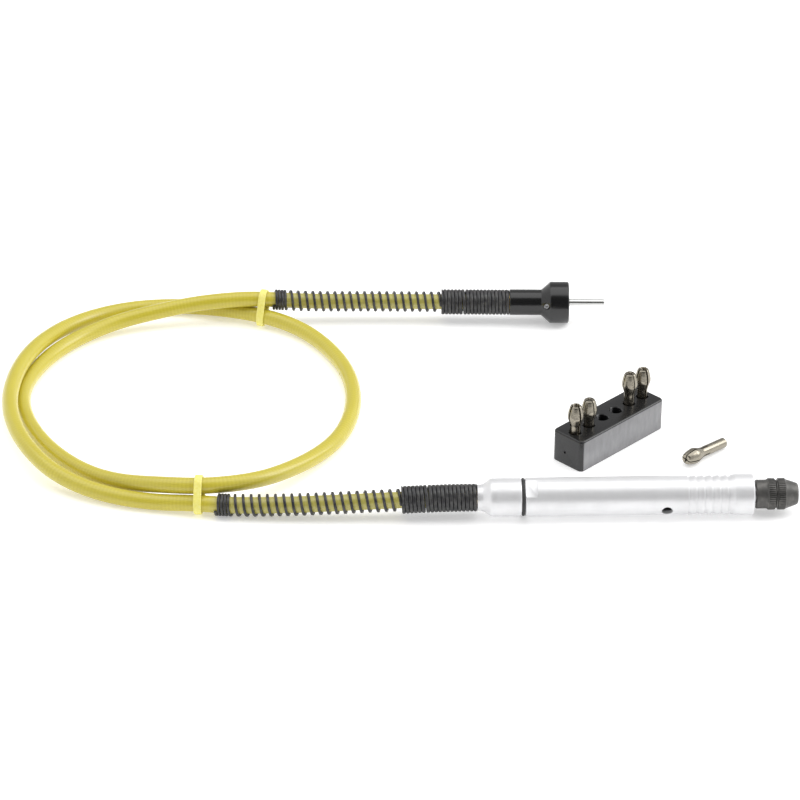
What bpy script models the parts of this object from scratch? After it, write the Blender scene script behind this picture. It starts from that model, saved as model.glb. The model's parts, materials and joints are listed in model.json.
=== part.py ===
"""Flexible-shaft attachment for a rotary tool: pen handpiece, shaft, drive coupling and collets.

The handpiece lies along +X, the drive coupling lies beyond the shaft's loop, and the collet
stand lies between them. Every size below is in millimetres; MM turns it into metres.
"""
import math

import bmesh
import bpy
import numpy as np
from mathutils import Matrix, Vector

MM = 0.001

# ---------------------------------------------------------------- where the groups lie
HANDPIECE_AT = (0.0, -88.1, 9.2)          # a point on the handpiece's axis, which runs along +X
DRIVE_AT = (38.6, 86.9, 10.2)             # middle of the coupling's front face
DRIVE_YAW = math.radians(-1.9)
STAND_AT = (48.9, -28.2, 0.0)
STAND_YAW = math.radians(43.6)
LOOSE_TIP_AT = (82.2, -50.0)              # tip of the collet that lies on the bench
LOOSE_YAW = math.radians(41.7)

# ---------------------------------------------------------------- handpiece, along its axis
CAP_BACK, CAP_FRONT = -13.7, 5.7
BODY_BACK, BODY_FRONT = 7.4, 107.7
BODY_R, NOSE_R, BORE_R = 8.6, 9.2, 7.0
FLAT_LENGTH, FLAT_R, FLAT_TURN = 5.2, 7.5, math.radians(30.0)
NOSE_START = 99.2
GRIP_FIRST, GRIP_PITCH, GRIP_GROOVES, GRIP_DEPTH = 78.9, 3.46, 6, 0.5
LOCK_HOLE_X, LOCK_HOLE_R, LOCK_HOLE_DIP = 69.4, 2.45, math.radians(22.0)
SPINDLE_R = 3.7
REAR_BEARING_X, FRONT_BEARING_X, BEARING_WIDTH = 20.0, 102.0, 5.0
BEARING_BALLS, BALL_R, BALL_PITCH_R = 7, 0.7, 5.33
NUT_BACK, NUT_FRONT = 117.7, 127.5

# ---------------------------------------------------------------- shaft and its springs
CASING_R = 3.7
CASING_STEP = 14.9                        # distance between the points of the casing's centreline
CASING_END = -8.3                         # where the casing stops inside the handpiece
FERRULE_R = 4.3
FERRULE_FRONT = -2.0                      # the handpiece ferrule's front face
DRIVE_SHIFT = -12.6                       # the same parts sit this much further back in the coupling
SLEEVE_TURNS, SLEEVE_PITCH, SLEEVE_R = 18, 1.74, 5.45
SLEEVE_WIRE = (0.78, 0.72)                # half the wire's width and height
GUARD_TURNS, GUARD_PITCH, GUARD_R = 21, 3.6, 4.6
GUARD_CLOSED_TURNS, GUARD_CLOSED_PITCH = 4, 1.35
GUARD_WIRE = (0.6, 0.43)
SLEEVE_GAP, GUARD_GAP = 1.1, 0.3          # from the housing's end, and from sleeve to guard
COIL_STEPS = 8                            # straight pieces to a turn

# ---------------------------------------------------------------- coupling, stand and collets
COUPLING_R, COUPLING_NECK_R = 10.15, 6.3
COUPLING_BACK = -28.7
PIN_R, PIN_LENGTH = 1.6, 17.5
STAND_SIZE = (56.0, 17.8, 15.6)
STAND_HOLES, STAND_PITCH, STAND_HOLE_R, STAND_HOLE_DEPTH = 6, 9.1, 2.75, 13.0
COLLET_LENGTH, COLLET_HEAD_R, COLLET_SHANK_R = 25.7, 3.7, 2.4
COLLET_SLOT, COLLET_SLOT_DEPTH, COLLET_TURN = 0.5, 14.0, math.radians(11.0)
# Each collet's hole, its bore, and how high its snug shank holds it above the hole's bottom.
STAND_COLLETS = {"collet_a": (0, 1.6, 1.1), "collet_b": (1, 0.5, 0.4),
                 "collet_c": (4, 0.7, 2.8), "collet_d": (5, 1.2, 1.5)}

# The shaft's centreline where it lies free, from the handpiece's spring, round one and a half
# turns, to the coupling's spring. It starts and ends in the two straight ferrules.
ROUTE = [
    (-24, -88.1, 9.2), (-45.5, -88.2, 8.6), (-66, -88.2, 7.8), (-87, -87.9, 6.8), (-108, -86.8, 5.8),
    (-127, -84.9, 5.2), (-136, -83.5, 5.1), (-153, -80.3, 4), (-169, -76.4, 4), (-185, -69.8, 4.9),
    (-200, -59.7, 7), (-211, -46, 8.8), (-220, -26.7, 10), (-225, -3, 10.5), (-225, 14.4, 10.6),
    (-221.7, 35, 10.4), (-215.7, 53, 9.4), (-206, 71.5, 7.2), (-193, 86.3, 5.1), (-177, 95.6, 4),
    (-160, 98.9, 3.8), (-144, 98.3, 3.8), (-133, 96, 4), (-122, 91.8, 4.6), (-110, 85.9, 5.1),
    (-99.5, 80, 4.7), (-88, 69.7, 4.1), (-77.5, 53.5, 3.8), (-70, 33.7, 3.8), (-67, 10.5, 3.8),
    (-69, -10.5, 3.8), (-75, -28.5, 3.8), (-84.5, -44.4, 4.8), (-96, -58.6, 6.9), (-108, -69.6, 9.1),
    (-121, -76.4, 10.8), (-136, -78.6, 11.2), (-152, -75.3, 9.9), (-168, -68.3, 7), (-183, -58.2, 4.7),
    (-196, -45.3, 3.9), (-209, -26.3, 3.8), (-217, -7.4, 3.8), (-220.5, 8.5, 3.8), (-220.5, 21, 3.8),
    (-216.5, 38, 3.8), (-208, 55.6, 3.8), (-194, 71.5, 4.4), (-177, 81.4, 6.2), (-160, 86, 8.4),
    (-144, 88.4, 10.6), (-129, 89.4, 12), (-117, 89.7, 12.5), (-107, 89.9, 12.1), (-93, 90.1, 11.1),
    (-61, 90, 10.4), (-22, 88.93, 10.2),
]


# ---------------------------------------------------------------- helpers
def clear_scene():
    for item in list(bpy.data.objects):
        bpy.data.objects.remove(item, do_unlink=True)


def finish(name, colour, metallic, roughness):
    """A plain Principled material."""
    made = bpy.data.materials.new(name)
    made.use_nodes = True
    shader = made.node_tree.nodes["Principled BSDF"]
    shader.inputs["Base Color"].default_value = (*colour, 1.0)
    shader.inputs["Metallic"].default_value = metallic
    shader.inputs["Roughness"].default_value = roughness
    made.diffuse_color = (*colour, 1.0)
    return made


def axis_empty(name, at, yaw=0.0, pitch=0.0):
    """An empty whose +X is the axis that its children are turned about."""
    empty = bpy.data.objects.new(name, None)
    empty.location = Vector(at) * MM
    empty.rotation_euler = (0.0, pitch, yaw)
    bpy.context.scene.collection.objects.link(empty)
    return empty


def add_mesh(name, bm, material, parent=None):
    bmesh.ops.recalc_face_normals(bm, faces=bm.faces)
    mesh = bpy.data.meshes.new(name)
    bm.to_mesh(mesh)
    bm.free()
    mesh.shade_smooth()
    mesh.set_sharp_from_angle(angle=math.radians(35))
    mesh.materials.append(material)
    item = bpy.data.objects.new(name, mesh)
    item.parent = parent
    bpy.context.scene.collection.objects.link(item)
    return item


def turned_bmesh(profile, steps):
    """Spin (x, radius) points about +X. An outline that starts off the axis is closed to a ring."""
    bm = bmesh.new()
    verts = [bm.verts.new((x * MM, 0.0, radius * MM)) for x, radius in profile]
    edges = [bm.edges.new(pair) for pair in zip(verts, verts[1:])]
    if profile[0][1] > 0:
        edges.append(bm.edges.new((verts[-1], verts[0])))
    bmesh.ops.spin(bm, geom=verts + edges, cent=(0, 0, 0), axis=(1, 0, 0),
                   angle=math.tau, steps=steps)
    bmesh.ops.remove_doubles(bm, verts=bm.verts, dist=1e-7)
    return bm


def turned(name, profile, material, parent=None, steps=24):
    return add_mesh(name, turned_bmesh(profile, steps), material, parent)


def box_bmesh(size, centre=(0, 0, 0)):
    bm = bmesh.new()
    place = Matrix.Translation(Vector(centre) * MM) @ Matrix.Diagonal((*(Vector(size) * MM), 1.0))
    bmesh.ops.create_cube(bm, size=1.0, matrix=place)
    return bm


def combine(target, tool_bm, operation="DIFFERENCE"):
    """Boolean the shape in tool_bm, given in the target's own space, into the target's mesh."""
    tool = add_mesh(target.name + "_tool", tool_bm, target.data.materials[0], target.parent)
    change = target.modifiers.new("shape", "BOOLEAN")
    change.operation = operation
    change.object = tool
    bpy.context.view_layer.update()
    graph = bpy.context.evaluated_depsgraph_get()
    target.data = bpy.data.meshes.new_from_object(target.evaluated_get(graph))
    target.modifiers.clear()
    bpy.data.objects.remove(tool, do_unlink=True)


def radial_cylinder(x, radius, inner, outer, angle, steps=12):
    """A cylinder that points away from the X axis, at angle from +Y about +X."""
    bm = turned_bmesh([(inner, 0), (inner, radius), (outer, radius), (outer, 0)], steps)
    turn = Matrix.Rotation(angle, 4, "X") @ Matrix.Rotation(math.pi / 2, 4, "Z")
    bmesh.ops.transform(bm, matrix=Matrix.Translation((x * MM, 0, 0)) @ turn, verts=bm.verts)
    return bm


# ---------------------------------------------------------------- the shaft's centreline
def on_drive_axis(along):
    """A point on the coupling's axis, along millimetres in front of its face."""
    x, y, z = DRIVE_AT
    return (x + along * math.cos(DRIVE_YAW), y + along * math.sin(DRIVE_YAW), z)


def smooth_line(points, samples=14):
    """A natural cubic spline through the points, as a fine polyline."""
    knots = np.array(points, float)
    gaps = np.linalg.norm(np.diff(knots, axis=0), axis=1)
    count = len(knots)
    system, right = np.eye(count), np.zeros((count, 3))
    for i in range(1, count - 1):
        system[i, i - 1:i + 2] = gaps[i - 1], 2 * (gaps[i - 1] + gaps[i]), gaps[i]
        right[i] = 6 * ((knots[i + 1] - knots[i]) / gaps[i] - (knots[i] - knots[i - 1]) / gaps[i - 1])
    bend = np.linalg.solve(system, right)
    line = []
    for i, gap in enumerate(gaps):
        for part in np.linspace(0, 1, samples, endpoint=False):
            near, far = 1 - part, part
            curve = ((near ** 3 - near) * bend[i] + (far ** 3 - far) * bend[i + 1]) * gap ** 2 / 6
            line.append(near * knots[i] + far * knots[i + 1] + curve)
    line.append(knots[-1])
    return np.array(line)


class Line:
    """A polyline that is read by the distance along it."""

    def __init__(self, points):
        self.points = points
        steps = np.linalg.norm(np.diff(points, axis=0), axis=1)
        self.marks = np.concatenate([[0.0], np.cumsum(steps)])
        self.length = float(self.marks[-1])

    def at(self, distance):
        return Vector([float(np.interp(distance, self.marks, self.points[:, k])) for k in range(3)])

    def direction(self, distance):
        return (self.at(distance + 0.5) - self.at(distance - 0.5)).normalized()


def shaft_line():
    start = [(CASING_END, *HANDPIECE_AT[1:])]
    end = [on_drive_axis(CASING_END + DRIVE_SHIFT)]
    return Line(smooth_line(start + ROUTE + end))


def casing_line(line):
    """The centreline as the casing's straight pieces follow it."""
    count = round(line.length / CASING_STEP) + 1
    return Line(np.array([line.at(line.length * i / (count - 1)) for i in range(count)]))


def shaft_casing(line, finishes):
    """The shaft's outer casing, one plain tube from ferrule to ferrule."""
    curve = bpy.data.curves.new("shaft_casing", "CURVE")
    curve.dimensions = "3D"
    curve.bevel_depth = CASING_R * MM
    curve.bevel_resolution = 2
    curve.use_fill_caps = True
    spline = curve.splines.new("POLY")
    spline.points.add(len(line.points) - 1)
    for point, place in zip(spline.points, line.points):
        point.co = (*(place * MM), 1.0)
    curve.materials.append(finishes["casing"])
    bpy.context.scene.collection.objects.link(bpy.data.objects.new("shaft_casing", curve))


def coil(name, line, start, stretches, radius, wire, material):
    """A flat wire wound round the line. stretches lists (turns, pitch), from start onwards."""
    bm = bmesh.new()
    rings, distance, turn = [], start, 0.0
    for turns, pitch in stretches:
        for _ in range(round(turns * COIL_STEPS)):
            rings.append(coil_ring(bm, line, distance, turn, radius, wire))
            turn += math.tau / COIL_STEPS
            distance += pitch / COIL_STEPS
    for one, two in zip(rings, rings[1:]):
        for k in range(4):
            bm.faces.new((one[k], one[(k + 1) % 4], two[(k + 1) % 4], two[k]))
    bm.faces.new(rings[0])
    bm.faces.new(rings[-1])
    return add_mesh(name, bm, material)


def coil_ring(bm, line, distance, turn, radius, wire):
    half_width, half_height = wire
    along = line.direction(distance)
    side = Vector((0, 0, 1)).cross(along).normalized()
    out = side * math.cos(turn) + along.cross(side) * math.sin(turn)
    centre = line.at(distance) + out * radius
    corners = (out * half_height, along * half_width, -out * half_height, -along * half_width)
    return [bm.verts.new((centre + corner) * MM) for corner in corners]


def springs(line, finishes):
    """At each end, a close-wound sleeve spring and, behind it, a smaller open guard spring."""
    guard = [(GUARD_TURNS, GUARD_PITCH), (GUARD_CLOSED_TURNS, GUARD_CLOSED_PITCH)]
    ends = [
        ("handpiece", line, CASING_END - CAP_BACK),
        ("drive", Line(line.points[::-1]), CASING_END + DRIVE_SHIFT - COUPLING_BACK),
    ]
    for end, route, housing_end in ends:
        start = housing_end + SLEEVE_GAP
        coil(end + "_sleeve_spring", route, start, [(SLEEVE_TURNS, SLEEVE_PITCH)],
             SLEEVE_R, SLEEVE_WIRE, finishes["spring"])
        start += SLEEVE_TURNS * SLEEVE_PITCH + GUARD_GAP
        coil(end + "_guard_spring", route, start, guard, GUARD_R, GUARD_WIRE, finishes["spring"])


def strands_at(line, x, low_y, high_y):
    """The two distances at which the shaft crosses the plane at x, between low_y and high_y."""
    points = line.points
    found = []
    for i in range(len(points) - 1):
        near, far = points[i], points[i + 1]
        if (near[0] - x) * (far[0] - x) <= 0 and low_y < near[1] < high_y:
            part = (x - near[0]) / (far[0] - near[0])
            found.append(line.marks[i] + part * (line.marks[i + 1] - line.marks[i]))
    return found[0], found[-1]


def cable_tie(name, line, one, two, finishes):
    """A flat band round the shaft's two strands at the distances one and two, with its small lock."""
    inner, outer, half = CASING_R + 0.68, CASING_R + 1.33, 1.6
    centres = [line.at(one), line.at(two)]
    along = line.direction(one)
    other = line.direction(two)
    along = (along + other * math.copysign(1, along.dot(other))).normalized()
    apart = centres[1] - centres[0]
    apart -= along * apart.dot(along)
    across = along.cross(apart).normalized()
    up = apart.normalized()
    middle = (centres[0] + centres[1]) / 2
    reach = apart.length / 2
    bm = bmesh.new()
    loops = []
    for radius in (inner, outer):
        outline = []
        for end, first in ((1, 0.0), (-1, math.pi)):
            for k in range(9):
                angle = first + math.pi * k / 8
                outline.append(up * end * reach + (across * math.cos(angle) + up * math.sin(angle)) * radius)
        for shift in (-half, half):
            loops.append([bm.verts.new((middle + point + along * shift) * MM) for point in outline])
    inner_back, inner_front, outer_back, outer_front = loops
    for one_loop, two_loop in ((inner_back, inner_front), (outer_back, outer_front),
                               (inner_back, outer_back), (inner_front, outer_front)):
        for k in range(18):
            n = (k + 1) % 18
            bm.faces.new((one_loop[k], one_loop[n], two_loop[n], two_loop[k]))
    band = add_mesh(name, bm, finishes["tie"])
    lock = box_bmesh((4.4, 2.6, 4.4))
    turn = Matrix((along, across, up)).transposed().to_4x4()
    if across.y < 0:
        across = -across
    place = Matrix.Translation((middle + across * (outer + 0.9)) * MM) @ turn
    bmesh.ops.transform(lock, matrix=place, verts=lock.verts)
    combine(band, lock, "UNION")


# ---------------------------------------------------------------- handpiece
def handpiece_body(axis, finishes):
    """The aluminium barrel: plain, then six grip grooves, then the thicker nose with its lip."""
    outline = [(BODY_BACK, BODY_R - 0.3), (BODY_BACK + 0.3, BODY_R)]
    for i in range(GRIP_GROOVES):
        x = GRIP_FIRST + i * GRIP_PITCH
        outline += [(x - 0.5, BODY_R + 0.1), (x + 0.1, BODY_R - GRIP_DEPTH),
                    (x + 1.0, BODY_R - GRIP_DEPTH + 0.15)]
    outline += [(NOSE_START - 1.2, BODY_R), (NOSE_START, NOSE_R), (BODY_FRONT - 0.4, NOSE_R),
                (BODY_FRONT, NOSE_R - 0.4), (BODY_FRONT, 5.2), (BODY_FRONT - 2.7, 5.2),
                (BODY_FRONT - 2.7, BORE_R), (BODY_BACK, BORE_R)]
    body = turned("handpiece_body", outline, finishes["aluminium"], axis)
    combine(body, radial_cylinder(LOCK_HOLE_X, LOCK_HOLE_R, 4.0, 12.0, math.pi + LOCK_HOLE_DIP))
    for side in (-1, 1):
        flat = box_bmesh((2 * FLAT_LENGTH, 20, 4), (BODY_BACK, 0, side * (FLAT_R + 2)))
        bmesh.ops.rotate(flat, cent=(0, 0, 0), matrix=Matrix.Rotation(FLAT_TURN, 3, "X"), verts=flat.verts)
        combine(body, flat)


def rear_cap(axis, finishes):
    """The bell-shaped cap that screws into the barrel and holds the shaft's ferrule."""
    outline = [(CAP_BACK, 5.7), (-11.6, 5.9), (-9.9, 6.7), (-8.5, 7.9), (-7.4, 8.45), (CAP_FRONT - 0.3, 8.5),
               (CAP_FRONT, 8.2), (CAP_FRONT, 6.7), (13.8, 6.7), (13.8, 5.6), (-5.0, 5.05), (-5.0, 4.6),
               (CAP_BACK, 4.6)]
    turned("rear_cap", outline, finishes["aluminium"], axis)
    turned("seal_ring", [(6.0, 7.0), (6.0, 8.2), (6.2, 8.4), (6.9, 8.4), (7.1, 8.2), (7.1, 7.0)],
           finishes["rubber"], axis)


def bearing(name, x, axis, finishes):
    """A deep-groove bearing: two races, and between them a cage that carries the balls."""
    half, steel = BEARING_WIDTH / 2, finishes["steel"]
    turned(name + "_outer_race", [(x - half, 5.75), (x - half, 6.7), (x + half, 6.7), (x + half, 5.75),
                                  (x + 0.8, 5.75), (x + 0.5, 6.15), (x - 0.5, 6.15), (x - 0.8, 5.75)],
           steel, axis, 20)
    turned(name + "_inner_race", [(x - half, 4.0), (x - half, 4.9), (x - 0.8, 4.9), (x - 0.5, 4.5),
                                  (x + 0.5, 4.5), (x + 0.8, 4.9), (x + half, 4.9), (x + half, 4.0)],
           steel, axis, 20)
    cage = turned(name + "_cage", [(x - 1.1, 5.1), (x - 1.1, 5.5), (x + 1.1, 5.5), (x + 1.1, 5.1)],
                  finishes["brass"], axis, 21)
    balls = bmesh.new()
    for i in range(BEARING_BALLS):
        angle = math.tau * i / BEARING_BALLS
        centre = Vector((x, BALL_PITCH_R * math.sin(angle), BALL_PITCH_R * math.cos(angle)))
        place = Matrix.Translation(centre * MM)
        bmesh.ops.create_uvsphere(balls, u_segments=8, v_segments=5, radius=BALL_R * MM, matrix=place)
    combine(cage, balls, "UNION")


def spindle(axis, finishes):
    """The hollow steel spindle, with the socket for the shaft's core at its back."""
    seat, step = SPINDLE_R, 4.5
    rear, front = REAR_BEARING_X + 2.9, FRONT_BEARING_X - 2.9
    outline = [(18.0, 0), (18.0, 2.2), (9.2, 2.2), (9.2, seat - 0.3), (9.5, seat), (15.6, seat), (15.6, 3.1),
               (16.8, 3.1), (16.8, seat), (rear, seat), (rear, step), (front, step), (front, seat),
               (116.9, seat), (116.9, 2.7), (100.6, 2.7), (100.6, 0)]
    turned("spindle", outline, finishes["steel"], axis, 20)
    clip = turned("spindle_circlip", [(15.9, 3.4), (15.9, 4.9), (16.6, 4.9), (16.6, 3.4)],
                  finishes["black_steel"], axis, 20)
    combine(clip, box_bmesh((3, 2.4, 6), (16.2, 0, 5)))
    turned("preload_washer", [(14.2, 5.4), (14.2, 6.6), (14.6, 6.6), (15.7, 6.1), (16.8, 6.6), (17.2, 6.6),
                              (17.2, 5.9), (15.8, 5.4)], finishes["steel"], axis, 20)
    nose = [(108.8, 4.0), (108.8, 6.1), (109.1, 6.4), (113.9, 6.4), (114.3, 7.0), (117.0, 7.0), (117.4, 6.6),
            (117.4, 4.7), (119.9, 4.7), (120.1, 4.4), (120.1, 3.6), (117.2, 2.85), (117.2, 4.0)]
    turned("spindle_nose", nose, finishes["black_steel"], axis)
    nut = [(NUT_BACK, 5.0), (NUT_BACK, 6.2), (118.2, 6.2), (118.5, 7.0), (121.5, 7.0), (122.0, 6.5),
           (126.7, 4.9), (NUT_FRONT, 4.3), (NUT_FRONT, 2.85), (122.3, 4.15), (120.6, 5.0)]
    turned("collet_nut", nut, finishes["black_steel"], axis)


def core_tip(name, shift, axis, finishes):
    """The end of the shaft's wire core: round through the ferrule, square in the spindle's socket."""
    start, square, end = CASING_END + 0.3 + shift, 9.6, 16.8
    if shift:
        square, end = -13.6, -8.6
    tip = turned(name, [(start, 0), (start, 1.6), (square, 1.6), (square, 0)], finishes["steel"], axis, 12)
    combine(tip, turned_bmesh([(square - 0.5, 0), (square - 0.5, 1.95), (end, 1.95), (end, 0)], 4), "UNION")


def ferrule(name, front, axis, finishes):
    """The crimped brass end of the casing, flanged so that the housing holds it."""
    back = front - 22.0
    outline = [(back, 4.0), (back, FERRULE_R), (front - 2.7, FERRULE_R), (front - 2.7, 4.75), (front, 4.75),
               (front, 2.2), (front - 5.9, 2.2), (front - 5.9, 4.0)]
    turned(name, outline, finishes["brass"], axis, 20)


# ---------------------------------------------------------------- drive coupling
def drive_coupling(axis, finishes):
    """The coupling's housing with two bushes, a clamping screw, and the pin that a drill turns."""
    outline = [(COUPLING_BACK, 5.05), (COUPLING_BACK, 6.0), (-28.4, COUPLING_NECK_R), (-13.2, COUPLING_NECK_R),
               (-9.2, COUPLING_R - 0.3), (-8.8, COUPLING_R), (-0.4, COUPLING_R), (0, COUPLING_R - 0.4),
               (0, 4.4), (-5.0, 4.4), (-5.0, 4.6), (-14.3, 4.6), (-14.3, 5.05)]
    housing = turned("drive_housing", outline, finishes["black_plastic"], axis)
    screw_x, screw_angle = -10.9, math.pi - math.radians(14.5)
    combine(housing, radial_cylinder(screw_x, 1.5, 4.0, 12.0, screw_angle))
    shank = radial_cylinder(screw_x, 1.2, 4.75, 8.1, screw_angle)
    screw = add_mesh("clamp_screw", shank, finishes["steel"], axis)
    combine(screw, radial_cylinder(screw_x, 0.65, 7.0, 9.0, screw_angle, 6))
    bronze = finishes["brass"]
    turned("drive_rear_bush", [(-13.9, 3.1), (-13.9, 4.3), (-9.4, 4.3), (-9.4, 3.1)], bronze, axis, 16)
    turned("drive_front_bush", [(-4.7, 1.85), (-4.7, 4.1), (-0.3, 4.1), (-0.3, 1.85)], bronze, axis, 16)
    pin = [(-7.9, 0), (-7.9, 2.15), (-14.0, 2.15), (-14.0, 2.8), (-5.1, 2.8), (-5.1, PIN_R),
           (PIN_LENGTH - 0.4, PIN_R), (PIN_LENGTH, PIN_R - 0.4), (PIN_LENGTH, 0)]
    turned("drive_spindle", pin, finishes["bright_steel"], axis, 16)


# ---------------------------------------------------------------- collets and their stand
def collet(name, bore, axis, finishes):
    """A slotted collet: +X of its axis runs from the tip of the head to the end of the shank."""
    outline = [(15.0, 0), (15.0, bore), (0, bore), (0, 2.2), (0.4, 2.6), (5.0, COLLET_HEAD_R),
               (6.2, COLLET_HEAD_R), (9.8, 2.5), (10.4, COLLET_SHANK_R), (COLLET_LENGTH - 0.4, COLLET_SHANK_R),
               (COLLET_LENGTH, COLLET_SHANK_R - 0.3), (COLLET_LENGTH, 0)]
    made = turned(name, outline, finishes["nickel"], axis, 16)
    for size in ((COLLET_SLOT_DEPTH * 2, COLLET_SLOT, 12), (COLLET_SLOT_DEPTH * 2, 12, COLLET_SLOT)):
        slot = box_bmesh(size)
        bmesh.ops.rotate(slot, cent=(0, 0, 0), matrix=Matrix.Rotation(COLLET_TURN, 3, "X"), verts=slot.verts)
        combine(made, slot)
    return made


def stand_point(along, height):
    x, y = STAND_AT[:2]
    return (x + along * math.cos(STAND_YAW), y + along * math.sin(STAND_YAW), height)


def collet_stand(finishes):
    """The moulded block with a row of blind holes."""
    axis = axis_empty("stand_axis", STAND_AT, STAND_YAW)
    length, width, height = STAND_SIZE
    block = box_bmesh(STAND_SIZE, (0, 0, height / 2))
    upright = [e for e in block.edges if abs(e.verts[0].co.z - e.verts[1].co.z) > 1e-6]
    bmesh.ops.bevel(block, geom=upright, offset=2.2 * MM, segments=3, affect="EDGES", profile=0.5)
    rim = [e for e in block.edges if min(v.co.z for v in e.verts) > (height - 0.01) * MM]
    bmesh.ops.bevel(block, geom=rim, offset=0.7 * MM, segments=2, affect="EDGES", profile=0.5)
    stand = add_mesh("collet_stand", block, finishes["black_plastic"], axis)
    for i in range(STAND_HOLES):
        x = (i - (STAND_HOLES - 1) / 2) * STAND_PITCH
        hole = bmesh.new()
        place = Matrix.Translation(Vector((x, 0, height)) * MM)
        bmesh.ops.create_cone(hole, segments=16, radius1=STAND_HOLE_R * MM, radius2=STAND_HOLE_R * MM,
                              depth=2 * STAND_HOLE_DEPTH * MM, cap_ends=True, matrix=place)
        combine(stand, hole)


def collets(finishes):
    """Four collets stand in the block, one lies loose and one is in the handpiece."""
    seated = STAND_SIZE[2] - STAND_HOLE_DEPTH + COLLET_LENGTH
    for name, (hole, bore, lift) in STAND_COLLETS.items():
        along = (hole - (STAND_HOLES - 1) / 2) * STAND_PITCH
        axis = axis_empty(name + "_axis", stand_point(along, seated + lift), STAND_YAW, math.pi / 2)
        collet(name, bore, axis, finishes)
    tilt = math.atan((COLLET_HEAD_R - COLLET_SHANK_R) / (COLLET_LENGTH - 6.2))
    lift = COLLET_HEAD_R * math.cos(tilt) + 6.2 * math.sin(tilt) + 0.03
    axis = axis_empty("loose_axis", (*LOOSE_TIP_AT, lift), LOOSE_YAW, tilt)
    collet("collet_loose", 0.6, axis, finishes)
    tip = (HANDPIECE_AT[0] + NUT_FRONT - 0.3, *HANDPIECE_AT[1:])
    collet("collet_fitted", 1.2, axis_empty("fitted_axis", tip, math.pi), finishes)


def main():
    clear_scene()
    finishes = {
        "aluminium": finish("satin_aluminium", (0.80, 0.80, 0.82), 0.9, 0.35),
        "steel": finish("steel", (0.55, 0.55, 0.56), 1.0, 0.3),
        "bright_steel": finish("bright_steel", (0.75, 0.75, 0.75), 1.0, 0.2),
        "nickel": finish("nickel", (0.50, 0.47, 0.42), 1.0, 0.3),
        "black_steel": finish("black_steel", (0.05, 0.05, 0.05), 0.6, 0.45),
        "brass": finish("brass", (0.70, 0.52, 0.25), 1.0, 0.35),
        "rubber": finish("rubber", (0.03, 0.03, 0.03), 0.0, 0.7),
        "black_plastic": finish("black_plastic", (0.02, 0.02, 0.022), 0.0, 0.35),
        "spring": finish("black_spring", (0.03, 0.03, 0.035), 0.5, 0.4),
        "casing": finish("yellow_casing", (0.68, 0.60, 0.10), 0.0, 0.4),
        "tie": finish("yellow_tie", (0.90, 0.82, 0.15), 0.0, 0.45),
    }
    handpiece = axis_empty("handpiece_axis", HANDPIECE_AT)
    handpiece_body(handpiece, finishes)
    rear_cap(handpiece, finishes)
    bearing("rear_bearing", REAR_BEARING_X, handpiece, finishes)
    bearing("front_bearing", FRONT_BEARING_X, handpiece, finishes)
    spindle(handpiece, finishes)
    core_tip("core_tip_handpiece", 0.0, handpiece, finishes)
    ferrule("handpiece_ferrule", FERRULE_FRONT, handpiece, finishes)

    drive = axis_empty("drive_axis", DRIVE_AT, DRIVE_YAW)
    drive_coupling(drive, finishes)
    core_tip("core_tip_drive", DRIVE_SHIFT, drive, finishes)
    ferrule("drive_ferrule", FERRULE_FRONT + DRIVE_SHIFT, drive, finishes)

    line = shaft_line()
    springs(line, finishes)
    line = casing_line(line)
    shaft_casing(line, finishes)
    cable_tie("lower_tie", line, *strands_at(line, -136.0, -95.0, -70.0), finishes)
    cable_tie("upper_tie", line, *strands_at(line, -110.0, 70.0, 100.0), finishes)

    collet_stand(finishes)
    collets(finishes)


main()
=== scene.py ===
"""The looks of the flexible-shaft handpiece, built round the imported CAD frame."""
import json
import math

import bmesh
import bpy
import numpy as np
from mathutils import Matrix, Vector


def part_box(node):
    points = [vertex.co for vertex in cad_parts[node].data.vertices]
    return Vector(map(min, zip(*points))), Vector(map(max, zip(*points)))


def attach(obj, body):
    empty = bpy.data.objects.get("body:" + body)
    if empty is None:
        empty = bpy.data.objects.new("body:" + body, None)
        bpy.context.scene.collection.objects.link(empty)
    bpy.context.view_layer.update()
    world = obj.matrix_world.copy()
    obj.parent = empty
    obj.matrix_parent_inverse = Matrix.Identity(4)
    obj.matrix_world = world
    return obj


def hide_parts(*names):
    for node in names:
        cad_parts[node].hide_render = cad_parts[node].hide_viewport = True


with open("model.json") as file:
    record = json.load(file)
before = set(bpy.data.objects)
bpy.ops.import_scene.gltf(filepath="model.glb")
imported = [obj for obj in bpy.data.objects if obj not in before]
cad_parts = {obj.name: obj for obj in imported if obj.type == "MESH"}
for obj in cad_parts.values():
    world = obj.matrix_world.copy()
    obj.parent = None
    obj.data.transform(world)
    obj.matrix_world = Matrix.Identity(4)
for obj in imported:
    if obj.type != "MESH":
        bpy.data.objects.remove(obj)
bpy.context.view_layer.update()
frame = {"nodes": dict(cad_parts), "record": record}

MM = 0.001
ROOT = "frame"
SHARP_ANGLE = 35.0                        # edges that turn by more than this many degrees look sharp

# ---------------------------------------------------------------- camera
VIEW_YAW = math.radians(-1.363)           # the handpiece lies this far off the view's horizontal
VIEW_RISE = math.radians(30.5)
VIEW_DISTANCE = 1.509
VIEW_TARGET = Vector((-0.0451, 0.0127, 0.0))
FOCAL_RATIO = 4.0375                      # focal length over the sensor's width
SENSOR = 36.0

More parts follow.
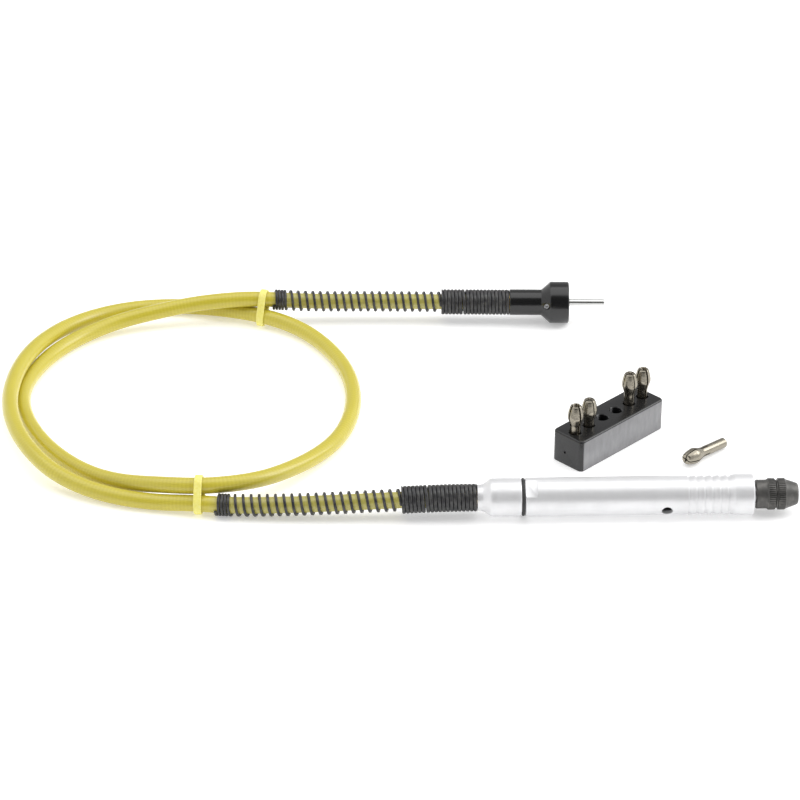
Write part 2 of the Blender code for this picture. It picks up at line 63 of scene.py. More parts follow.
# ---------------------------------------------------------------- the shaft, in metres
# Its route as the CAD model lays it, from one ferrule to the other.
ROUTE = [
    (-0.024, -0.0881, 0.0092), (-0.0455, -0.0882, 0.0086), (-0.066, -0.0882, 0.0078),
    (-0.087, -0.0879, 0.0068), (-0.108, -0.0868, 0.0058), (-0.127, -0.0849, 0.0052),
    (-0.136, -0.0835, 0.0051), (-0.153, -0.0803, 0.004), (-0.169, -0.0764, 0.004),
    (-0.185, -0.0698, 0.0049), (-0.2, -0.0597, 0.007), (-0.211, -0.046, 0.0088),
    (-0.22, -0.0267, 0.01), (-0.225, -0.003, 0.0105), (-0.225, 0.0144, 0.0106),
    (-0.2217, 0.035, 0.0104), (-0.2157, 0.053, 0.0094), (-0.206, 0.0715, 0.0072),
    (-0.193, 0.0863, 0.0051), (-0.177, 0.0956, 0.004), (-0.16, 0.0989, 0.0038),
    (-0.144, 0.0983, 0.0038), (-0.133, 0.096, 0.004), (-0.122, 0.0918, 0.0046),
    (-0.11, 0.0859, 0.0051), (-0.0995, 0.08, 0.0047), (-0.088, 0.0697, 0.0041),
    (-0.0775, 0.0535, 0.0038), (-0.07, 0.0337, 0.0038), (-0.067, 0.0105, 0.0038),
    (-0.069, -0.0105, 0.0038), (-0.075, -0.0285, 0.0038), (-0.0845, -0.0444, 0.0048),
    (-0.096, -0.0586, 0.0069), (-0.108, -0.0696, 0.0091), (-0.121, -0.0764, 0.0108),
    (-0.136, -0.0786, 0.0112), (-0.152, -0.0753, 0.0099), (-0.168, -0.0683, 0.007),
    (-0.183, -0.0582, 0.0047), (-0.196, -0.0453, 0.0039), (-0.209, -0.0263, 0.0038),
    (-0.217, -0.0074, 0.0038), (-0.2205, 0.0085, 0.0038), (-0.2205, 0.021, 0.0038),
    (-0.2165, 0.038, 0.0038), (-0.208, 0.0556, 0.0038), (-0.194, 0.0715, 0.0044),
    (-0.177, 0.0814, 0.0062), (-0.16, 0.086, 0.0084), (-0.144, 0.0884, 0.0106),
    (-0.129, 0.0894, 0.012), (-0.117, 0.0897, 0.0125), (-0.107, 0.0899, 0.0121),
    (-0.093, 0.0901, 0.0111), (-0.061, 0.09, 0.0104), (-0.022, 0.08893, 0.0102),
]
CASING_R = 0.0037
CORD_LENGTH = 1.08
CASING_END = -0.0083                      # where the casing stops inside the handpiece, along X
DRIVE_CASING_END = -0.0209                # and inside the coupling, along its own axis
LOWER_TIE_SPOT = (-0.136, -0.095, -0.070)     # a tie's x, and the two y it lies between
UPPER_TIE_SPOT = (-0.110, 0.070, 0.100)

# ---------------------------------------------------------------- sizes in millimetres
LINER_PITCH = 1.7                         # one turn of the liner that shows through the casing
GUARDED = (118.0, 124.0)                  # the painted shade under a guard fades out here, from the casing's end

# Springs: (turns, pitch) stretches, the coil's radius, and half the wire's width and height.
SLEEVE_TURNS = [(13, 1.74), (0.25, 3.0), (7, 1.74)]
SLEEVE_R, SLEEVE_WIRE = 5.42, (0.86, 0.75)
GUARD_TURNS = [(21, 3.6), (4, 1.42)]
GUARD_R, GUARD_WIRE = 4.55, (0.64, 0.5)
SLEEVE_AFTER = {"handpiece": 5.4, "drive": 7.8}     # from the casing's end to the housing's edge
SLEEVE_INSIDE = 0.8                       # the sleeve is wound from this far inside the housing
SLEEVE_CUTS = (0.15, 33.1)                # and cut flat this far outside it, at both ends
GUARD_AFTER = 33.3                        # the guard is wound from this far outside the housing
WIRE_SQUARENESS = 0.75                    # the power that turns the wire's ellipse into a rounded bar

TIE_INNER, TIE_OUTER = 0.25, 1.2          # the band's two faces, measured from the casing
TIE_HALF = 1.7                            # half its width
TIE_CHAMFER = 0.3
TIE_LOCK = (4.2, 2.5, 4.2)                # along the shaft, outwards, and up
TIE_LOCK_STANDS = 0.9                     # the lock's middle outside the band

GROOVES, FIRST_GROOVE, GROOVE_PITCH = 6, 78.9, 3.46
GROOVE = [(-0.12, 8.7), (0, 8.05), (0.6, 8.08), (1.6, 8.45), (2.6, 8.68)]
LOCK_HOLE_X, LOCK_HOLE_R = 69.4, 2.45
LOCK_HOLE_TURN = math.pi + math.radians(22)
FLAT_CUTTER = (10.4, 20, 4)               # half of it lies past the barrel's end
FLAT_X, FLAT_AXIS_DISTANCE = 7.4, 9.5     # the middle of the cutter
FLAT_TURN = math.radians(30)
COLLAR_KNURL = (114.2, 117.2)             # from and to, along X
NUT_KNURL = (118.4, 121.6)
KNURL_ROOT, KNURL_TOP, KNURL_HALF = 6.6, 7.4, 0.36

SCREW_X, SCREW_R = -10.9, 1.5
SCREW_TURN = math.pi - math.radians(14.5)

BORES = {"collet_a": 1.6, "collet_b": 0.5, "collet_c": 0.7, "collet_d": 1.2, "collet_loose": 0.6,
         "collet_fitted": 1.2}
WIDE_BORE, WIDE_SLOT, NARROW_SLOT = 1, 0.85, 0.5
SLOT_TURNS = (math.radians(11), math.radians(101))
COLLET_LENGTH, SHANK_R, TIP_R = 25.7, 2.4, 2.2
BORE_DEPTH, SLOT_DEPTH, SLOT_SPAN = 15.0, 14.0, 12.0
LOOSE_YAW = math.radians(41.7)
LOOSE_REST_X, LOOSE_REST_R = 6.2, 3.7     # where the lying collet's head meets the floor
LOOSE_CLEARANCE = 0.03                    # keeps the head's facets off the floor

STAND_LENGTH, STAND_WIDTH = 56.0, 17.8
STAND_CORNER, STAND_RIM, STAND_FOOT = 2.2, 1.0, 0.4       # the softened edges
HOLES, HOLE_PITCH = 6, 9.1
HOLE = [(-13.0, 0), (-13.0, 2.75), (-0.35, 2.75), (0.3, 3.4), (2.0, 3.4), (2.0, 0)]
GATE_ASIDE, GATE_RISE = 1.2, 0.42         # the gate mark's place: off the middle, and a share of the height

# ---------------------------------------------------------------- axes, from the frame
JOINTS = {joint["name"]: joint for joint in frame["record"]["behaviour"]["joints"]}


def axis_matrix(at, along):
    """A place whose +X is along and whose +Z is up as far as it can be."""
    x = Vector(along).normalized()
    up = Vector((0, 0, 1)) if abs(x.z) < 0.9 else Vector((0, -1, 0))
    y = up.cross(x).normalized()
    z = x.cross(y)
    place = Matrix((x, y, z)).transposed().to_4x4()
    place.translation = Vector(at)
    return place


HANDPIECE = axis_matrix(JOINTS["handpiece_spin"]["pos_m"], JOINTS["handpiece_spin"]["axis"])
DRIVE = axis_matrix(JOINTS["drive_spin"]["pos_m"], JOINTS["drive_spin"]["axis"])


# ---------------------------------------------------------------- curves and lines
def smooth_line(points, samples=14):
    """A natural cubic spline through the points, as a fine polyline."""
    knots = np.array(points, float)
    gaps = np.linalg.norm(np.diff(knots, axis=0), axis=1)
    count = len(knots)
    system, right = np.eye(count), np.zeros((count, 3))
    for i in range(1, count - 1):
        system[i, i - 1:i + 2] = gaps[i - 1], 2 * (gaps[i - 1] + gaps[i]), gaps[i]
        right[i] = 6 * ((knots[i + 1] - knots[i]) / gaps[i] - (knots[i] - knots[i - 1]) / gaps[i - 1])
    bend = np.linalg.solve(system, right)
    line = []
    for i, gap in enumerate(gaps):
        for far in np.linspace(0, 1, samples, endpoint=False):
            near = 1 - far
            curve = ((near ** 3 - near) * bend[i] + (far ** 3 - far) * bend[i + 1]) * gap ** 2 / 6
            line.append(near * knots[i] + far * knots[i + 1] + curve)
    line.append(knots[-1])
    return np.array(line)


class Line:
    """A polyline that is read by the distance along it, in metres."""

    NUDGE = 0.8 * MM                      # how far to each side a direction looks

    def __init__(self, points):
        self.points = points
        steps = np.linalg.norm(np.diff(points, axis=0), axis=1)
        self.marks = np.concatenate([[0.0], np.cumsum(steps)])
        self.length = float(self.marks[-1])

    def at(self, distance):
        return Vector([float(np.interp(distance, self.marks, self.points[:, k])) for k in range(3)])

    def direction(self, distance):
        return (self.at(distance + self.NUDGE) - self.at(distance - self.NUDGE)).normalized()

    def frame(self, distance):
        """The point, the direction, and two directions across it."""
        along = self.direction(distance)
        side = Vector((0, 0, 1)).cross(along).normalized()
        return self.at(distance), along, side, along.cross(side)


def shaft_line():
    start = HANDPIECE @ Vector((CASING_END, 0, 0))
    end = DRIVE @ Vector((DRIVE_CASING_END, 0, 0))
    return Line(smooth_line([tuple(start)] + ROUTE + [tuple(end)]))


# ---------------------------------------------------------------- material tools
def linear(*colour):
    """An sRGB colour of 0 to 255 as the linear values that shaders take."""
    parts = [c / 255 for c in colour]
    return tuple(p / 12.92 if p <= 0.04045 else ((p + 0.055) / 1.055) ** 2.4 for p in parts)


class Shader:
    """A Principled material whose nodes are added one line at a time."""

    def __init__(self, name, colour, roughness, metallic=0.0):
        self.material = bpy.data.materials.new(name)
        self.material.use_nodes = True
        self.nodes = self.material.node_tree.nodes
        self.links = self.material.node_tree.links
        self.main = self.nodes["Principled BSDF"]
        self.set({"Base Color": (*colour, 1.0), "Roughness": roughness, "Metallic": metallic})

    def set(self, values):
        for name, value in values.items():
            self.main.inputs[name].default_value = value

    def add(self, kind, **values):
        node = self.nodes.new(kind)
        for key, value in values.items():
            if key in node.inputs:
                node.inputs[key].default_value = value
            else:
                setattr(node, key, value)
        return node

    def join(self, output, target):
        self.links.new(output, target)

    def place(self, scale=(1, 1, 1), matrix=None):
        """Object coordinates, turned into an axis's own frame and scaled."""
        coords = self.add("ShaderNodeTexCoord").outputs["Object"]
        if matrix is not None:
            inverse = matrix.inverted()
            turn = self.add("ShaderNodeMapping")
            turn.inputs["Location"].default_value = inverse.translation
            turn.inputs["Rotation"].default_value = inverse.to_euler()
            self.join(coords, turn.inputs["Vector"])
            coords = turn.outputs["Vector"]
        stretch = self.add("ShaderNodeVectorMath", operation="MULTIPLY")
        stretch.inputs[1].default_value = scale
        self.join(coords, stretch.inputs[0])
        return stretch.outputs["Vector"]

    def noise(self, vector, scale, detail=3.0):
        made = self.add("ShaderNodeTexNoise", Scale=scale, Detail=detail)
        self.join(vector, made.inputs["Vector"])
        return made.outputs["Fac"]

    def maths(self, operation, *values):
        """One sum on the values, each a number or an output."""
        made = self.add("ShaderNodeMath", operation=operation)
        for value, target in zip(values, made.inputs):
            if isinstance(value, float):
                target.default_value = value
            else:
                self.join(value, target)
        return made.outputs[0]

    def spread(self, value, low, high, from_low=0.3, from_high=0.7):
        """Map a texture's value to the range low to high."""
        made = self.add("ShaderNodeMapRange")
        made.inputs["From Min"].default_value = from_low
        made.inputs["From Max"].default_value = from_high
        made.inputs["To Min"].default_value = low
        made.inputs["To Max"].default_value = high
        self.join(value, made.inputs["Value"])
        return made.outputs["Result"]

    def mix(self, value, one, two):
        """A colour that goes from one to two as value goes from 0 to 1. Each is a colour or an output."""
        made = self.add("ShaderNodeMix", data_type="RGBA")
        self.join(value, made.inputs["Factor"])
        for colour, target in ((one, made.inputs[6]), (two, made.inputs[7])):
            if isinstance(colour, tuple):
                target.default_value = (*colour, 1.0)
            else:
                self.join(colour, target)
        return made.outputs[2]

    def tint(self, value, one, two):
        """Colour the surface from one to two as value goes from 0 to 1."""
        self.join(self.mix(value, one, two), self.main.inputs["Base Color"])

    def facing(self, direction, start, end):
        """1 on faces that look along or against direction, falling to 0."""
        normal = self.add("ShaderNodeTexCoord").outputs["Normal"]
        dot = self.add("ShaderNodeVectorMath", operation="DOT_PRODUCT")
        dot.inputs[1].default_value = direction
        self.join(normal, dot.inputs[0])
        size = self.maths("ABSOLUTE", dot.outputs["Value"])
        return self.spread(size, 0.0, 1.0, start, end)

    def rough(self, value):
        self.join(value, self.main.inputs["Roughness"])

    def bump(self, height, distance, strength=1.0):
        made = self.add("ShaderNodeBump", Distance=distance, Strength=strength)
        self.join(height, made.inputs["Height"])
        self.join(made.outputs["Normal"], self.main.inputs["Normal"])


# ---------------------------------------------------------------- materials
def casing_material():
    """Yellow sheath over a wound steel liner, whose turns show faintly through it, with an olive painted
    shade under the guard springs at each end.
    """
    made = Shader("yellow_casing", linear(201, 188, 60), 0.34)
    along = made.add("ShaderNodeAttribute", attribute_name="along").outputs["Fac"]
    wave = made.maths("SINE", made.maths("MULTIPLY", along, math.tau / LINER_PITCH))
    turns = made.spread(wave, 0.0, 1.0, -1.0, 1.0)
    patches = made.noise(made.place(), 70.0, 4.0)
    pattern = made.maths("MULTIPLY", turns, made.spread(patches, 0.25, 1.0))
    sheath = made.mix(pattern, linear(198, 184, 56), linear(205, 192, 64))
    from_far_end = made.maths("SUBTRACT", CORD_LENGTH / MM, along)
    from_end = made.maths("MINIMUM", along, from_far_end)
    # painted shade: the olive tint near each end stands for the shadow that the guard's coils cast on the
    # casing
    made.tint(made.spread(from_end, 1.0, 0.0, *GUARDED), sheath, linear(199, 190, 98))
    made.rough(made.spread(patches, 0.28, 0.42))
    made.bump(pattern, 0.00004, 0.6)
    made.set({"Subsurface Weight": 0.12, "Subsurface Radius": (0.003, 0.0025, 0.0005),
              "Coat Weight": 0.5, "Coat Roughness": 0.17})
    return made.material


def tie_material():
    """Bright nylon that lets a little light in."""
    made = Shader("yellow_tie", linear(245, 236, 130), 0.45)
    grain = made.noise(made.place(), 900.0)
    made.tint(made.spread(grain, 0.0, 1.0), linear(240, 230, 116), linear(248, 240, 146))
    made.rough(made.spread(grain, 0.38, 0.55))
    made.bump(grain, 0.00003)
    made.set({"Subsurface Weight": 0.25, "Subsurface Radius": (0.002, 0.002, 0.0006)})
    return made.material


def turned_metal(name, colour, roughness, axis, ring_scale=2600.0, depth=0.000006, wear=0.08,
                 metallic=1.0):
    """Metal with the fine rings that turning leaves round its axis, and slight handling marks."""
    made = Shader(name, colour, roughness, metallic)
    rings = made.noise(made.place((1.0, 0.03, 0.03), axis), ring_scale, 2.0)
    marks = made.noise(made.place(), 120.0, 5.0)
    uneven = made.maths("MULTIPLY_ADD", marks, 0.5, rings)
    made.rough(made.spread(uneven, roughness - wear, roughness + wear, 0.55, 0.95))
    darker = tuple(c * 0.93 for c in colour)
    made.tint(made.spread(marks, 0.0, 1.0), colour, darker)
    made.bump(rings, depth)
    return made.material


def black_metal(name, axis, roughness=0.42):
    """Blackened steel, paler where it is handled."""
    made = Shader(name, linear(88, 87, 85), roughness, 0.55)
    rings = made.noise(made.place((1.0, 0.05, 0.05), axis), 1800.0, 2.0)
    wear = made.noise(made.place(), 260.0, 6.0)
    made.tint(made.spread(wear, 0.0, 1.0, 0.45, 0.75), linear(84, 83, 81), linear(112, 110, 107))
    made.rough(made.spread(rings, roughness - 0.07, roughness + 0.1))
    made.bump(rings, 0.000008)
    return made.material


def coupling_material():
    """Moulded black plastic: a tight gloss over a faint orange-peel surface."""
    colour, roughness = linear(10, 10, 11), 0.16
    made = Shader("coupling_plastic", colour, roughness)
    peel = made.noise(made.place(), 700.0, 3.0)
    haze = made.noise(made.place(), 60.0, 4.0)
    made.tint(made.spread(haze, 0.0, 1.0), colour, tuple(c * 1.35 for c in colour))
    made.rough(made.spread(haze, roughness - 0.05, roughness + 0.09))
    made.bump(peel, 0.00001)
    made.set({"Coat Weight": 0.25, "Coat Roughness": 0.12})
    return made.material


def stand_material(place):
    """Gloss black moulding whose two long faces carry a painted grey sheen, which stands in for the light
    they catch, and are a little rougher.
    """
    black = linear(28, 28, 29)
    made = Shader("stand_plastic", black, 0.24)
    # painted sheen: the two long faces are tinted grey because of the way they face, with scuff noise in
    # the grey and in the bump
    painted_sheen_faces = made.facing(place.to_3x3().col[1], 0.93, 0.995)
    scuff_and_sheen_noise = made.noise(made.place((1.0, 1.0, 0.35)), 420.0, 6.0)
    grey = made.mix(made.spread(scuff_and_sheen_noise, 0.0, 1.0), linear(126, 126, 128), linear(142, 142, 144))
    made.tint(painted_sheen_faces, black, grey)
    made.rough(made.spread(painted_sheen_faces, 0.24, 0.42, 0.0, 1.0))
    made.bump(scuff_and_sheen_noise, 0.00004)
    return made.material


def spring_material():
    """Black-coated wire with a slight sheen, paler in patches where its coating is worn."""
    made = Shader("black_spring", linear(62, 62, 64), 0.34, 0.4)
    rub = made.noise(made.place(), 500.0, 4.0)
    made.tint(made.spread(rub, 0.0, 1.0, 0.4, 0.75), linear(50, 50, 52), linear(90, 89, 88))
    made.rough(made.spread(rub, 0.28, 0.5))
    made.bump(rub, 0.00001)
    return made.material


def rubber_material():
    """Matt black rubber."""
    made = Shader("seal_rubber", linear(52, 52, 52), 0.65)
    grain = made.noise(made.place(), 900.0)
    made.rough(made.spread(grain, 0.55, 0.75))
    made.bump(grain, 0.00001)
    return made.material


# ---------------------------------------------------------------- mesh tools
def add_mesh(name, bm, material, body, smooth_angle=SHARP_ANGLE):
    """The mesh as an object that rides on body, or on nothing when body is None."""
    bmesh.ops.recalc_face_normals(bm, faces=bm.faces)
    mesh = bpy.data.meshes.new(name)
    bm.to_mesh(mesh)
    bm.free()
    mesh.shade_smooth()
    mesh.set_sharp_from_angle(angle=math.radians(smooth_angle))
    mesh.materials.append(material)
    piece = bpy.data.objects.new(name, mesh)
    bpy.context.scene.collection.objects.link(piece)
    if body:
        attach(piece, body)
    return piece


def skin(bm, rings, closed=False):
    """Join rings of vertices into a tube. It is capped at both ends unless it closes on itself."""
    following = rings[1:] + rings[:1] if closed else rings[1:]
    for one, two in zip(rings, following):
        for k in range(len(one)):
            n = (k + 1) % len(one)
            bm.faces.new((one[k], one[n], two[n], two[k]))
    if not closed:
        bm.faces.new(rings[0])
        bm.faces.new(rings[-1])


def soften(bm, edges, offset, segments):
    """Round the edges by offset, in millimetres."""
    bmesh.ops.bevel(bm, geom=edges, offset=offset * MM, segments=segments, affect="EDGES", profile=0.5)


def rounded(profile, radius, count=3):
    """Round the corners of an (x, radius) outline in millimetres. One that starts on the axis is open."""
    points = [Vector(p) for p in profile]
    closed = profile[0][1] > 0
    most = 0.45                           # of the shorter side at a corner
    made = []
    for i, corner in enumerate(points):
        if not closed and i in (0, len(points) - 1):
            made.append(tuple(corner))
            continue
        before, after = points[i - 1], points[(i + 1) % len(points)]
        reach = min(radius, (before - corner).length * most, (after - corner).length * most)
        one = corner + (before - corner).normalized() * reach
        two = corner + (after - corner).normalized() * reach
        for k in range(count + 1):
            t = k / count
            made.append(tuple(one * (1 - t) ** 2 + corner * 2 * t * (1 - t) + two * t ** 2))
    return made


def turned_bmesh(profile, steps, place):
    """Spin (x, radius) points in millimetres about the +X axis of place."""
    bm = bmesh.new()
    verts = [bm.verts.new((x * MM, 0.0, radius * MM)) for x, radius in profile]
    edges = [bm.edges.new(pair) for pair in zip(verts, verts[1:])]
    if profile[0][1] > 0:
        edges.append(bm.edges.new((verts[-1], verts[0])))
    bmesh.ops.spin(bm, geom=verts + edges, cent=(0, 0, 0), axis=(1, 0, 0), angle=math.tau, steps=steps)
    bmesh.ops.remove_doubles(bm, verts=bm.verts, dist=1e-7)
    bmesh.ops.transform(bm, matrix=place, verts=bm.verts)
    return bm


def turned(name, profile, material, place, body, steps=96, corner=0.15):
    """A piece turned from an outline whose corners are softened by corner, in millimetres."""
    return add_mesh(name, turned_bmesh(rounded(profile, corner), steps, place), material, body)


def combine(target, tool_bm, operation="DIFFERENCE"):
    """Boolean the shape in tool_bm into the target's mesh."""
    tool = add_mesh("tool", tool_bm, target.data.materials[0], None)
    change = target.modifiers.new("shape", "BOOLEAN")
    change.operation = operation
    change.object = tool
    bpy.context.view_layer.update()
    graph = bpy.context.evaluated_depsgraph_get()
    target.data = bpy.data.meshes.new_from_object(target.evaluated_get(graph))
    target.modifiers.clear()
    target.data.shade_smooth()
    target.data.set_sharp_from_angle(angle=math.radians(SHARP_ANGLE))
    bpy.data.objects.remove(tool, do_unlink=True)


def box_bmesh(size, centre, place, turn=0.0):
    """A box in millimetres, turned about place's +X."""
    bm = bmesh.new()
    scale = Matrix.Diagonal((*(Vector(size) * MM), 1.0))
    local = Matrix.Rotation(turn, 4, "X") @ Matrix.Translation(Vector(centre) * MM) @ scale
    bmesh.ops.create_cube(bm, size=1.0, matrix=place @ local)
    return bm


def radial_drill(radius, steps, place, x, angle):
    """A drill that points away from place's +X axis, at angle from +Y, x along it."""
    inner, outer = 4, 12                  # how far from the axis it starts and stops
    turn = Matrix.Rotation(angle, 4, "X") @ Matrix.Rotation(math.pi / 2, 4, "Z")
    outwards = place @ Matrix.Translation((x * MM, 0, 0)) @ turn
    return turned_bmesh([(inner, 0), (inner, radius), (outer, radius), (outer, 0)], steps, outwards)


# ---------------------------------------------------------------- shaft, springs and ties
def casing(line):
    """The sheath as a fine tube, with the distance along it stored in millimetres."""
    sides, step = 28, 2.2 * MM
    count = round(line.length / step) + 1
    bm = bmesh.new()
    layer = bm.verts.layers.float.new("along")
    rings, path = [], []
    for i in range(count):
        distance = line.length * i / (count - 1)
        centre, along, side, up = line.frame(distance)
        path.append(tuple(centre))
        ring = []
        for k in range(sides):
            angle = math.tau * k / sides
            vert = bm.verts.new(centre + (side * math.cos(angle) + up * math.sin(angle)) * CASING_R)
            vert[layer] = distance / MM
            ring.append(vert)
        rings.append(ring)
    skin(bm, rings)
    piece = add_mesh("casing_sheath", bm, casing_material(), ROOT, 60)
    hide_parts("shaft_casing")
    return piece, path


def squared(value):
    """A sine or cosine, pushed out so that a circle becomes a rounded square."""
    return math.copysign(abs(value) ** WIRE_SQUARENESS, value)


def coil(name, line, start, stretches, radius, wire, material):
    """A flat wire with rounded edges, wound round the line from start onwards, in millimetres."""
    steps, corners = 36, 10
    half_width, half_height = wire
    bm = bmesh.new()
    rings, distance, turn = [], start, 0.0
    for turns, pitch in stretches:
        for _ in range(round(turns * steps)):
            centre, along, side, up = line.frame(distance * MM)
            out = side * math.cos(turn) + up * math.sin(turn)
            ring = []
            for k in range(corners):
                angle = math.tau * k / corners
                wide = squared(math.cos(angle)) * half_width
                high = squared(math.sin(angle)) * half_height
                ring.append(bm.verts.new(centre + (out * (radius + high) + along * wide) * MM))
            rings.append(ring)
            turn += math.tau / steps
            distance += pitch / steps
    skin(bm, rings)
    piece = add_mesh(name + "_coil", bm, material, ROOT, 70)
    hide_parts(name + "_spring")
    return piece


def ground(piece, line, start, end):
    """Cut a coil flat at two distances along its line, in millimetres."""
    reach = 12 * MM                       # more than the coil's radius: only these turns can be cut
    bm = bmesh.new()
    bm.from_mesh(piece.data)
    for distance, outward in ((start, -1), (end, 1)):
        centre, along, side, up = line.frame(distance * MM)
        near = [v for v in bm.verts if (v.co - centre).length < reach]
        inside = set(near)
        faces = [f for f in bm.faces if inside.issuperset(f.verts)]
        edges = list({e for f in faces for e in f.edges})
        bmesh.ops.bisect_plane(bm, geom=near + edges + faces, plane_co=centre,
                               plane_no=along * outward, clear_outer=True)
    bmesh.ops.holes_fill(bm, edges=[e for e in bm.edges if e.is_boundary])
    bm.to_mesh(piece.data)
    bm.free()


def springs(line):
    """At each end, a close-wound sleeve and, behind it, an open guard with a few closed turns."""
    black = spring_material()
    for end, route in (("handpiece", line), ("drive", Line(line.points[::-1]))):
        edge = SLEEVE_AFTER[end]
        sleeve = coil(end + "_sleeve", route, edge - SLEEVE_INSIDE, SLEEVE_TURNS, SLEEVE_R, SLEEVE_WIRE,
                      black)
        ground(sleeve, route, edge + SLEEVE_CUTS[0], edge + SLEEVE_CUTS[1])
        coil(end + "_guard", route, edge + GUARD_AFTER, GUARD_TURNS, GUARD_R, GUARD_WIRE, black)


def strands_at(line, x, low_y, high_y):
    """The two distances at which the shaft crosses the plane at x, between low_y and high_y."""
    found = []
    for i, (near, far) in enumerate(zip(line.points, line.points[1:])):
        if (near[0] - x) * (far[0] - x) <= 0 and low_y < near[1] < high_y:
            part = (x - near[0]) / (far[0] - near[0])
            found.append(line.marks[i] + part * (line.marks[i + 1] - line.marks[i]))
    return found[0], found[-1]


def band_bmesh(middle, along, across, apart, up):
    """A flat band drawn round two strands that lie apart, with half a turn round each."""
    inner, outer = CASING_R + TIE_INNER * MM, CASING_R + TIE_OUTER * MM
    half, chamfer, arc = TIE_HALF * MM, TIE_CHAMFER * MM, 24
    section = [(inner, -half), (inner, half), (outer - chamfer, half), (outer, half - chamfer),
               (outer, chamfer - half), (outer - chamfer, -half)]
    bm = bmesh.new()
    rings = []
    for end, first in ((1, 0.0), (-1, math.pi)):
        foot = middle + up * end * apart / 2
        for k in range(arc + 1):
            angle = first + math.pi * k / arc
            out = across * math.cos(angle) + up * math.sin(angle)
            rings.append([bm.verts.new(foot + out * radius + along * shift) for radius, shift in section])
    skin(bm, rings, closed=True)
    return bm


def cable_tie(name, line, spot, replaced, material):
    """A nylon band round the two strands at spot, with its lock at the back."""
    one, two = strands_at(line, *spot)
    low, high = line.at(one), line.at(two)
    along, other = line.direction(one), line.direction(two)
    along = (along + other * math.copysign(1, along.dot(other))).normalized()
    apart = high - low
    apart -= along * apart.dot(along)
    up = apart.normalized()
    across = along.cross(up).normalized()
    middle = (low + high) / 2
    band_mesh = band_bmesh(middle, along, across, apart.length, up)
    band = add_mesh(name, band_mesh, material, ROOT, 40)
    if across.y < 0:
        across = -across
    turn = Matrix((along, across, up)).transposed().to_4x4()
    turn.translation = middle + across * (CASING_R + (TIE_OUTER + TIE_LOCK_STANDS) * MM)
    lock = box_bmesh(TIE_LOCK, (0, 0, 0), turn)
    soften(lock, list(lock.edges), 0.5, 2)
    combine(band, lock, "UNION")
    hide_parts(replaced)
    return band


# ---------------------------------------------------------------- handpiece
def barrel(metal):
    """The turned barrel with its grip grooves, lock hole and two flats."""
    profile = [(7.4, 8.3), (7.7, 8.6), (77.8, 8.68)]
    for i in range(GROOVES):
        profile += [(FIRST_GROOVE + i * GROOVE_PITCH + x, radius) for x, radius in GROOVE]
    profile += [(98.0, 8.62), (99.4, 9.18), (107.3, 9.2), (107.7, 8.85), (107.7, 5.2), (105.0, 5.2),
                (105.0, 7.0), (7.4, 7.0)]
    body = turned("barrel", profile, metal, HANDPIECE, ROOT, 128, 0.12)
    combine(body, radial_drill(LOCK_HOLE_R, 48, HANDPIECE, LOCK_HOLE_X, LOCK_HOLE_TURN))
    for side in (-1, 1):
        centre = (FLAT_X, 0, side * FLAT_AXIS_DISTANCE)
        combine(body, box_bmesh(FLAT_CUTTER, centre, HANDPIECE, FLAT_TURN))
    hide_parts("handpiece_body")


def back_cap(metal):
    """The bell-shaped cap, with the spigot that goes into the barrel."""
    profile = [(-13.7, 5.7), (-12.6, 5.75), (-11.2, 6.05), (-9.9, 6.8), (-8.8, 7.7), (-7.9, 8.3),
               (-7.3, 8.48), (5.45, 8.5), (5.75, 8.2), (5.75, 6.7), (13.8, 6.7), (13.8, 5.6),
               (-5.0, 5.05), (-5.0, 4.6), (-13.7, 4.6)]
    piece = turned("back_cap", profile, metal, HANDPIECE, ROOT, 128, 0.3)
    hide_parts("rear_cap")


def seal():
    """The rubber ring between cap and barrel."""
    profile = [(6.0, 7.0), (6.0, 8.2), (6.2, 8.4), (6.9, 8.4), (7.1, 8.2), (7.1, 7.0)]
    piece = turned("seal", profile, rubber_material(), HANDPIECE, ROOT, 96, 0.2)
    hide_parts("seal_ring")


def nose_collar(black):
    """The black collar behind the nut, knurled at its front."""
    profile = [(108.8, 4.0), (108.8, 6.1), (109.1, 6.4), (113.6, 6.4), (114.2, 6.98), (117.0, 6.98),
               (117.4, 6.6), (117.4, 4.7), (119.9, 4.7), (120.1, 4.4), (120.1, 3.6), (117.2, 2.85),
               (117.2, 4.0)]
    piece = turned("nose_collar", profile, black, HANDPIECE, "handpiece_spindle", 128, 0.12)
    knurl(piece, *COLLAR_KNURL)
    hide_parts("spindle_nose")


def chuck_nut(black):
    """The tapered nut that closes the collet."""
    profile = [(117.7, 5.0), (117.7, 6.2), (118.2, 6.2), (118.5, 6.98), (121.5, 6.98), (122.0, 6.5),
               (126.6, 4.95), (127.2, 4.6), (127.5, 4.1), (127.5, 2.85), (122.3, 4.15), (120.6, 5.0)]
    piece = turned("chuck_nut", profile, black, HANDPIECE, "nut", 128, 0.12)
    knurl(piece, *NUT_KNURL)
    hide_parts("collet_nut")


def knurl(piece, start, end, teeth=48):
    """Cut straight teeth into a turned piece of the handpiece, between start and end along X."""
    cutter = bmesh.new()
    for i in range(teeth):
        angle = math.tau * (i + 0.5) / teeth
        out = Vector((0, math.cos(angle), math.sin(angle)))
        side = Vector((0, -math.sin(angle), math.cos(angle)))
        wedge = [out * KNURL_ROOT, out * KNURL_TOP + side * KNURL_HALF, out * KNURL_TOP - side * KNURL_HALF]
        triangles = []
        for x in (start, end):
            triangles.append([cutter.verts.new((Vector((x, 0, 0)) + corner) * MM) for corner in wedge])
        skin(cutter, triangles)
    bmesh.ops.transform(cutter, matrix=HANDPIECE, verts=cutter.verts)
    combine(piece, cutter)


